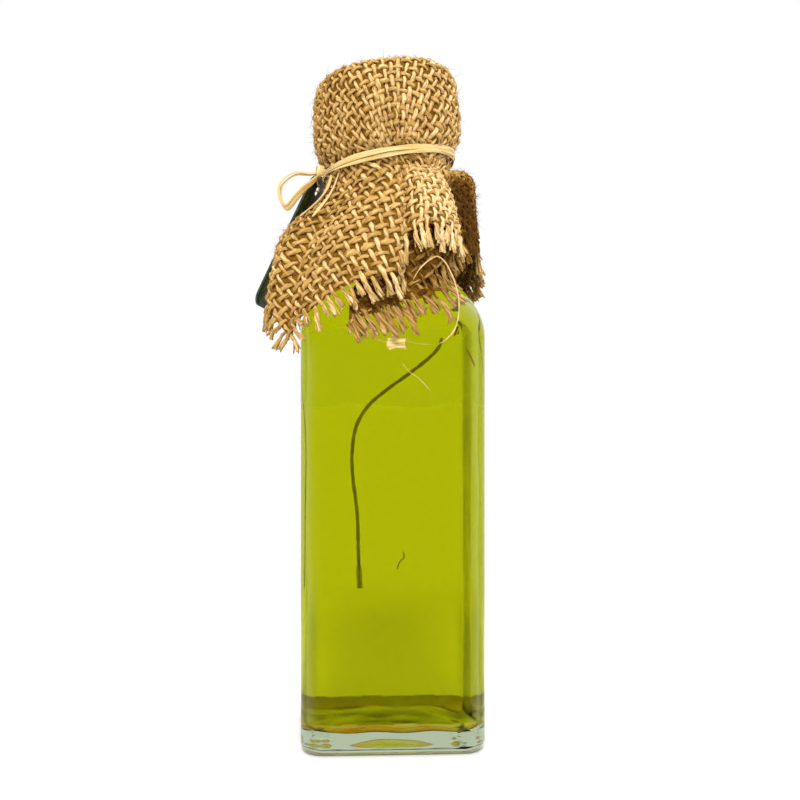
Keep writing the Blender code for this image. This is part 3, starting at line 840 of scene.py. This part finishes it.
# %% [markdown]
# ## Weaving
#
# A plain weave: each yarn goes over one crossing yarn and under the next, and its neighbours do the
# opposite, so the lift of a yarn is a cosine of the distance along it, with its sign turned from
# yarn to yarn. The yarns that run to the shown side are spun thinner and harder than the ones that
# cross them. The outer 6 mm of every side are frayed: no crossing yarns are left there, so the yarn
# ends wander and droop, thicken where they untwist, and split into strands.

# %% Weaving
WOVEN_HALF = CLOTH_HALF - FRINGE
YARNS = round(2 * WOVEN_HALF / YARN_PITCH)
FIRST_YARN = (YARNS - 1) / 2 * YARN_PITCH
CRIMP = 0.46
POINT_STEP = 0.65
FLATTEN = 0.62
PLY = 0.16
# How strongly the crest paints a highlight on the outer side of each yarn and shade on its inner side.
PAINTED_CREST_LIGHT = 0.3
SHIFT = 0.42
FRINGE_SPREAD = 1.56
FRINGE_SAG = 0.035
STRANDS = 6
STRAND_POINTS = 9


def weave(name, lengthwise, radius, material):
    """All yarns of one direction of the cloth."""
    count = YARNS
    middle = np.arange(count) * YARN_PITCH - FIRST_YARN + dice.uniform(-0.3, 0.3, count)
    first = -CLOTH_HALF + dice.uniform(-0.4, 3.2, (count, 1))
    last = CLOTH_HALF - dice.uniform(-0.4, 3.2, (count, 1))
    length = int(2 * CLOTH_HALF / POINT_STEP)
    share = np.linspace(0, 1, length)[None, :]
    along = first + (last - first) * share
    beyond = np.maximum(np.abs(along) - WOVEN_HALF, 0)
    loose = smooth_step(beyond / 2.0)
    sideways = middle[:, None] + SHIFT * waves(count, length, 30, POINT_STEP)
    sideways += FRINGE_SPREAD * (beyond / FRINGE) ** 1.4 * waves(count, length, 60, POINT_STEP)
    sign = np.where(np.arange(count) % 2 == int(lengthwise), -1.0, 1.0)[:, None]
    lift = sign * CRIMP * np.cos(pi * (along + FIRST_YARN) / YARN_PITCH) * (1 - loose)
    u, v = (sideways, along) if lengthwise else (along, sideways)
    out = face_out(u, v)
    lines = hang(u, v) + out * lift[..., None]
    lines += out * (0.9 * beyond / FRINGE * waves(count, length, 50, POINT_STEP))[..., None]
    lines[..., 2] -= FRINGE_SAG * beyond ** 2
    slub = 1 + 0.24 * waves(count, length, 17, POINT_STEP) + 0.2 * waves(count, length, 5, POINT_STEP)
    radii = radius * dice.uniform(0.8, 1.2, (count, 1)) * np.clip(slub, 0.6, 1.6) * (1 + 0.1 * loose)
    ends = np.minimum(share, 1 - share) * 2 * CLOTH_HALF
    fray = []
    t = np.linspace(0, 1, STRAND_POINTS)[None, :, None]
    for end in (slice(STRAND_POINTS - 1, None, -1), slice(-STRAND_POINTS, None)):
        root, normal = (np.repeat(part[:, end], STRANDS, axis=0) for part in (lines, out))
        ahead = unit(np.gradient(root, axis=1))
        across = unit(np.cross(ahead, normal))
        angle = dice.uniform(0, 2 * pi, (count * STRANDS, 1, 1)) + 2 * t
        spread = dice.uniform(0.3, 0.8, (count * STRANDS, 1, 1)) * (0.5 + 1.1 * t ** 2)
        longer = dice.uniform(-0.9, 0.5, (count * STRANDS, 1, 1)) * t ** 2
        fray.append(root + (across * np.cos(angle) + normal * np.sin(angle)) * spread + ahead * longer)
    radii *= 0.6 + 0.4 * smooth_step(ends / 0.9)
    shade = in_shade(u, v)
    # Painted light and shade in the tone: the crest and the lift make the outer sides and the tops of the
    # yarns lighter and their dips darker, and in_shade darkens them as painted shade.
    piece = tubes(name, lines, radii, out, material, flatten=FLATTEN, rough=PLY, crest=PAINTED_CREST_LIGHT,
                  tones=(0.22 if lengthwise else -0.04) + 0.5 * loose + 0.45 * lift - shade)
    fray_shade = np.concatenate([shade[:, :1], shade[:, -1:]]).repeat(STRANDS, axis=0)
    return piece, (lines, out, radii, shade), (np.concatenate(fray), fray_shade)


def finish_fringe(name, strand_lines, shade):
    """The strands that the yarn ends split into, as one piece."""
    count, length = strand_lines.shape[:2]
    out = np.broadcast_to([0.3, -1.0, 0.2], strand_lines.shape)
    radii = dice.uniform(0.16, 0.36, (count, 1)) * np.linspace(1.0, 0.9, length)
    # The strands keep the painted shade of the yarn ends they split from.
    piece = tubes(name, strand_lines, radii, out, jute_thin, sides=4, tones=0.3 - shade)
    return piece


warp, warp_run, warp_fray = weave("warp_yarns", True, WARP_RADIUS, jute_thin)
weft, weft_run, weft_fray = weave("weft_yarns", False, WEFT_RADIUS, jute_thick)
fringe = finish_fringe("fringe_strands", *(np.concatenate(pair) for pair in zip(warp_fray, weft_fray)))
print("yarns:", 2 * YARNS, "strands:", 4 * YARNS * STRANDS,
      "faces:", sum(len(piece.data.polygons) for piece in (warp, weft, fringe)))

# %% [markdown]
# ## Fluff
#
# Jute is hairy: loose fibres stand out from every yarn, most of them along it. They are far thinner
# than a pixel of the photo, so they don't show one by one, but they make the outline soft and fill
# the small holes with a haze. Each is a three-sided tube of a tenth of a millimetre.

# %% Fluff
FIBRES = 6800
FIBRE_POINTS = 5
FIBRE_RADIUS = 0.05


def fluff(name, lines, out, radii, shade):
    """Short bent fibres that start at random places on the yarns."""
    yarn = dice.integers(0, lines.shape[0], FIBRES)
    place = dice.integers(4, lines.shape[1] - 4, FIBRES)
    ahead = unit(lines[yarn, place + 1] - lines[yarn, place - 1]) * dice.choice([-1.0, 1.0], (FIBRES, 1))
    up = out[yarn, place]
    side = unit(np.cross(ahead, up))
    angle = dice.uniform(-0.5 * pi, 0.5 * pi, (FIBRES, 1))
    away = up * np.cos(angle) + side * np.sin(angle)
    start = lines[yarn, place] + away * radii[yarn, place][:, None] * 0.8
    length = dice.gamma(3.0, 0.32, (FIBRES, 1)) + 0.7
    steep = dice.uniform(0.02, 0.3, (FIBRES, 1))
    bend = dice.normal(0, 0.15, (FIBRES, 3)) - np.array([0, 0, 0.1])
    t = np.linspace(0, 1, FIBRE_POINTS)[:, None, None]
    fibres = start + (ahead + away * steep) * length * t + bend * length * t ** 2
    fibres = np.moveaxis(fibres, 0, 1)
    taper = np.linspace(1.0, 0.4, FIBRE_POINTS) * dice.uniform(0.6, 1.2, (FIBRES, 1))
    # Each fibre keeps the painted shade of the place on the yarn it starts from.
    piece = tubes(name, fibres, FIBRE_RADIUS * taper, np.repeat(side[:, None], FIBRE_POINTS, axis=1),
                  jute_thin, sides=3, tones=-shade[yarn, place][:, None])
    return piece


warp_fluff = fluff("warp_fluff", *warp_run)
weft_fluff = fluff("weft_fluff", *weft_run)
print("fibres:", 2 * FIBRES)

# %% [markdown]
# ## The ground under the yarns
#
# It has the weave's own relief, so it stays under each yarn where that passes over, and rises with
# it. Its dark brown is painted shade, for the holes between the yarns where little light reaches.

# %% The ground under the yarns
GROUND_STEP = 0.65
GROUND_RELIEF = 0.5
GROUND_DEPTH = 0.1


def make_ground():
    # Painted shade: the ground is dark brown, as the holes between the yarns look in shade.
    ground = grained("jute ground in shadow", [(0.2, JUTE_GROUND), (0.65, JUTE_DARK)], size=0.6,
                     relief=(0.8, 0.3), Roughness=0.95, Specular_IOR_Level=0.1)
    half = WOVEN_HALF - 0.6
    side = int(2 * half / GROUND_STEP)
    line = np.linspace(-half, half, side)
    u, v = np.meshgrid(line, line, indexing="ij")
    over = [np.cos(pi * (part + FIRST_YARN) / YARN_PITCH) for part in (u, v)]
    points = hang(u, v) + face_out(u, v) * (GROUND_RELIEF * over[0] * over[1] - GROUND_DEPTH)[..., None]
    index = np.arange(side * side).reshape(side, side)
    quads = np.stack([index[:-1, :-1], index[:-1, 1:], index[1:, 1:], index[1:, :-1]], axis=-1)
    piece = new_mesh("cloth_ground", points.reshape(-1, 3), quads.reshape(-1, 4).tolist(), ground)
    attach(piece, BODY)
    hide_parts("cloth_cover")
    area = sum(face.area for face in piece.data.polygons) / MM ** 2
    print("ground: %.0f mm2 of %.0f mm2 of flat cloth" % (area, (2 * WOVEN_HALF) ** 2))
    return piece


cloth_ground = make_ground()

# %% [markdown]
# ## Raffia
#
# The tie is raffia, strips torn from a palm leaf: flat, straw-pale, a little glossy, with fine lines
# along their length. Three strips go round the waist side by side and partly over each other. The
# knot sits at the left, one open double loop of the bow stands out from it, and two tails lie down
# on the cloth. A strip is a tube that is flattened towards the cloth, so it can twist as it turns.

# %% Raffia
RAFFIA_LIGHT = "#f0d79b"
RAFFIA_MIDDLE = "#d9b76f"
RAFFIA_DARK = "#a67c38"
TIE_RADIUS = 19.5
TIE_HEIGHT = 168.3
TIE_TILT = (0.16, -0.06)
KNOT = (-20.6, -9.4, 165.2)
TAILS = ((-56.0, -53.0), (-50.5, -49.0))
BOW = [(-20.6, -9.4, 165.2), (-23.4, -9.2, 164.8), (-28.2, -10.2, 164.8), (-32.0, -11.0, 161.8),
       (-32.4, -11.4, 158.2), (-30.6, -11.8, 155.0), (-28.0, -12.2, 157.4), (-25.2, -12.2, 160.4),
       (-23.0, -11.4, 162.2), (-20.8, -9.6, 164.6)]


raffia = grained("dried raffia", [(0.28, RAFFIA_DARK), (0.45, RAFFIA_MIDDLE), (0.62, RAFFIA_LIGHT)],
                 stretch=(0.12, 22.0, 1.0), on_yarn=True, relief=(0.6, 0.15), Roughness=0.5,
                 Specular_IOR_Level=0.4)


def strips(name, lines, width, out, flatten):
    """Flat strips of leaf, each with its own width wandering along it and tapering at its ends."""
    lines = np.asarray(lines)
    count, length = lines.shape[:2]
    share = np.minimum(np.linspace(0, 1, length), np.linspace(1, 0, length))
    radii = width / 2 * (1 + 0.18 * waves(count, length, 40, 1.0)) * (0.45 + 0.55 * smooth_step(share * 12))
    piece = tubes(name, lines, radii, out, raffia, sides=10, flatten=flatten)
    return piece


def make_tie():
    turns = np.radians(np.linspace(-64, 296, 181))
    lines, outs = [], []
    for rise, lift, phase in ((-0.85, 0.0, 0.0), (0.1, 0.28, 2.0), (0.9, 0.05, 4.0)):
        radius = TIE_RADIUS + lift + 0.12 * np.sin(3 * turns + phase)
        x = radius * np.sin(turns)
        y = -radius * np.cos(turns)
        pulled = sum(np.exp(-((turns - end) / 0.5) ** 2) for end in (turns[0], turns[-1]))
        z = TIE_HEIGHT + TIE_TILT[0] * x + TIE_TILT[1] * y + rise * (1 - 0.75 * pulled)
        z += 0.28 * np.sin(2 * turns + phase)
        lines.append(np.column_stack([x - 0.25, y, z]))
        outs.append(np.column_stack([np.sin(turns), -np.cos(turns), 0.35 * np.sin(5 * turns + phase)]))
    band = strips("raffia_band", lines, 1.35, np.array(outs), 0.2)
    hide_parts("tie")
    loop = smooth_curve(BOW, 0.6)
    centre = loop.mean(axis=0)
    out = unit(np.cross(np.gradient(loop, axis=0), (0.1, -1.0, 0.2))) + (0.0, -0.7, 0.0)
    belly = np.sin(np.linspace(0, pi, len(loop)))
    second = loop + np.column_stack([0.5 * belly, np.full(len(loop), 0.7), -0.9 * belly])
    strips("raffia_bow", [loop, second], 1.35, np.array([out, out]), 0.3)
    angle = np.linspace(0, 4.4 * pi, 60)
    knot = KNOT + np.column_stack([np.linspace(-0.88, 0.88, 60), np.sin(angle), 1.35 * np.cos(angle) + 0.3])
    strips("raffia_knot", [knot], 1.3, unit(knot - KNOT)[None], 0.35)
    tails, tail_outs = [], []
    for start, end in TAILS:
        line = np.radians(np.linspace(start, end, 28))
        path = np.linspace(WAIST_PATH - 1.0, WAIST_PATH + 16.5, 28)
        u, v = CLOTH_OFFSET[0] + path * np.sin(line), CLOTH_OFFSET[1] + path * np.cos(line)
        tail_outs.append(face_out(u, v))
        tails.append(hang(u, v) + tail_outs[-1] * (1.3 + 0.3 * np.sin(np.linspace(0, 5, 28)))[:, None])
    strips("raffia_tails", tails, 1.2, np.array(tail_outs), 0.3)
    print("bow loop: %.0f mm round, centre at %s" % (len(loop) * 0.6, np.round(centre, 1)))


make_tie()

# %% [markdown]
# ## Hang tag
#
# A long slip of dark green card with round corners hangs from the knot, behind the left wing of the
# cloth. Printed card has a thin paler line round its edge, which is drawn here as a strip 0.03 mm
# above the surface, and small specks where the ink has rubbed off the paper. It carries no words.

# %% Hang tag
CARD_GREEN = "#23340f"
CARD_DARK = "#16240a"
CARD_LINE = "#4f7a35"
TAG_LENGTH = 44.0
TAG_WIDTH = 13.0
TAG_THICKNESS = 0.8
TAG_ROUND = 4.0
TAG_TOP = np.array([-20.3, 9.8, 167.4])
TAG_FOOT = np.array([-39.6, 11.0, 126.5])
TAG_TURN = radians(-65)
TAG_BEVEL = 0.12
TAG_PRINT = 0.03
TAG_HOLE = 1.6
TAG_HOLE_AT = 4.5


def card_material(name, colour, dark):
    return grained(name, [(0.35, dark), (0.6, colour), (0.78, CARD_LINE)], size=0.9, detail=5.0,
                   relief=(0.25, 0.1), Roughness=0.5)


def tag_outline(inset):
    """Points round the slip, along and across it."""
    corner = TAG_ROUND - inset
    points = []
    for a, b, start in ((TAG_LENGTH - TAG_ROUND, 1, 0), (TAG_ROUND, 1, 90), (TAG_ROUND, -1, 180),
                        (TAG_LENGTH - TAG_ROUND, -1, 270)):
        for angle in np.radians(np.linspace(start, start + 90, 9)):
            points.append((a + corner * cos(angle), b * (TAG_WIDTH / 2 - TAG_ROUND) + corner * sin(angle)))
    return np.array(points)


def make_tag():
    down = unit(TAG_FOOT - TAG_TOP)
    across = np.array([cos(TAG_TURN), -sin(TAG_TURN), 0.0])
    across = unit(across - down * across.dot(down))
    outward = np.cross(down, across)

    def place(flat, height):
        curl = 0.25 * np.sin(flat[:, 0] / TAG_LENGTH * pi)
        return (TAG_TOP + np.outer(flat[:, 0], down) + np.outer(flat[:, 1], across)
                + np.outer(curl + height, outward))

    outline = tag_outline(0.0)
    bevel = tag_outline(TAG_BEVEL)
    count = len(outline)
    turn = 2 * pi * np.arange(count) / count
    hole = np.column_stack([TAG_HOLE_AT + TAG_HOLE * np.cos(turn), TAG_HOLE * np.sin(turn)])
    rings = [place(hole, 0.0), place(bevel, 0.0), place(outline, TAG_BEVEL),
             place(outline, TAG_THICKNESS - TAG_BEVEL), place(bevel, TAG_THICKNESS),
             place(hole, TAG_THICKNESS)]
    last = len(rings) - 1
    faces = ring_faces(count, [*zip(range(last), range(1, last + 1)), (last, 0)])
    green = card_material("dark green card", CARD_GREEN, CARD_DARK)
    card = new_mesh("tag_card", np.vstack(rings), faces, green)
    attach(card, BODY)
    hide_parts("tag")
    border = [place(tag_outline(inset), height) for height in (-TAG_PRINT, TAG_THICKNESS + TAG_PRINT)
              for inset in (1.15, 1.5)]
    line = new_mesh("tag_border", np.vstack(border), ring_faces(count, [(0, 1), (2, 3)]),
                    card_material("printed line", CARD_LINE, CARD_GREEN))
    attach(line, BODY)
    eye = TAG_TOP + down * TAG_HOLE_AT + outward * TAG_THICKNESS / 2
    string = smooth_curve([KNOT, (-21.6, -4.0, 166.2), (-22.2, 3.0, 166.6),
                           eye + outward * 0.9 - down * 0.6, eye, eye - outward * 1.2 - down * 0.8,
                           (-20.3, 4.0, 167.4), (-19.9, -3.0, 167.2)], 0.6)
    strips("tag_string", [string], 0.9, np.tile([-1.0, 0.0, 0.3], (1, len(string), 1)), 0.5)
    print("tag: %.0f x %.0f x %.1f mm, string %.0f mm" % (TAG_LENGTH, TAG_WIDTH, TAG_THICKNESS,
                                                         0.6 * (len(string) - 1)))


make_tag()

# %% [markdown]
# ## Stray fibres and a flake of straw
#
# A few single fibres lie on the front of the glass below the cloth: one long one in an arc under the
# fold, some short ones, and a flake of straw. Their places are read off the picture and carried
# along the line of sight to a plane just in front of the glass.

# %% Stray fibres and a flake of straw
ARC_FIBRE = [(413, 279), (420, 268), (430, 259), (438, 256), (446, 263), (453, 277), (457, 290), (459, 303),
             (458, 318), (454, 330), (446, 339), (438, 344)]
PALE_FIBRES = [[(388, 330), (396, 333), (403, 335), (409, 341), (418, 343), (431, 344)],
               [(402, 362), (409, 371), (419, 378), (431, 391)],
               [(372, 334), (380, 340), (391, 341), (400, 336)]]
DARK_FIBRES = [[(403, 551), (404, 557), (400, 561), (397, 569)], [(466, 348), (470, 355), (475, 366)]]
FLAKE = [(388, 337), (393, 336), (399, 338), (406, 338), (405, 344), (407, 349), (397, 347), (389, 350),
         (386, 344)]
FLAKE_GAP = 0.5
FLAKE_THICKNESS = 0.35
STRAW = "#e4ca7e"
STRAW_DARK = "#b08a4a"


def on_glass(places, gap):
    """Points in space, seen at columns and rows of the picture, on a plane in front of the glass."""
    places = np.asarray(places, dtype=float)
    ahead = np.array([-sin(CAMERA_AZIMUTH), cos(CAMERA_AZIMUTH), 0.0])
    right = np.array([cos(CAMERA_AZIMUTH), sin(CAMERA_AZIMUTH), 0.0])
    eye = (np.array([0.0, 0.0, CAMERA_HEIGHT]) - ahead * CAMERA_DISTANCE) / MM
    sight = (ahead * FOCAL_PIXELS + np.outer(places[:, 0] - AXIS_COLUMN, right)
             + np.outer((IMAGE_SIDE - 1) / 2 - places[:, 1], (0.0, 0.0, 1.0)))
    return eye + sight * ((-HALF - np.asarray(gap) - eye[1]) / sight[:, 1])[:, None]


def stray(name, route, gaps, thickness, material, tone):
    """One fibre along a route in the picture, with pointed ends."""
    line = smooth_curve(on_glass(route, gaps), 0.5)[None]
    length = line.shape[1]
    radii = thickness / 2 * (1 + 0.25 * waves(1, length, 4, 0.5))
    radii *= 0.4 + 0.6 * smooth_step(np.minimum(np.linspace(0, 8, length), np.linspace(8, 0, length)))
    piece = tubes(name, line, radii, np.tile([0.0, -1.0, 0.0], (1, length, 1)), material, tones=tone)


def make_flake():
    straw = grained("flake of straw", [(0.38, STRAW_DARK), (0.62, STRAW)], stretch=(0.25 / MM, 1.0, 4.0 / MM),
                    Roughness=0.5)
    near = on_glass(FLAKE, FLAKE_GAP + FLAKE_THICKNESS)
    rings = [on_glass(FLAKE, FLAKE_GAP), near * 0.97 + near.mean(axis=0) * 0.03]
    piece = new_mesh("straw_flake", *loft(rings), straw, smooth=False)
    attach(piece, BODY)


stray("arc_fibre", ARC_FIBRE, np.linspace(4.5, 0.6, len(ARC_FIBRE)), 0.42, jute_thin, 0.8)
for i, route in enumerate(PALE_FIBRES):
    stray("pale_fibre_%d" % i, route, 0.3, 0.22, jute_thin, 0.4)
# The dark fibres are painted shade: they are coloured with the jute painted in shade and a low tone.
for i, route in enumerate(DARK_FIBRES):
    stray("dark_fibre_%d" % i, route, 0.25, 0.34, jute_shadow, -1.0)
make_flake()
print("stray fibres:", 1 + len(PALE_FIBRES) + len(DARK_FIBRES), "and one flake")

# %% [markdown]
# ## Stopper
#
# Nothing of the stopper shows from outside, but its place under the cloth is real: turned cork,
# whose dark pores are lenticels of the bark. The frame's own solid has the right shape and only
# gets its finish.

# %% Stopper
CORK_LIGHT = "#c9a377"
CORK_DARK = "#7a5534"

cork = grained("turned cork", [(0.08, CORK_DARK), (0.3, CORK_LIGHT)], size=2.2, texture="TexVoronoi",
               detail=0.0, relief=(0.4, 0.3), Roughness=0.8)
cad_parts["stopper"].data.materials.clear()
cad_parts["stopper"].data.materials.append(cork)
print("stopper finish:", cork.name)
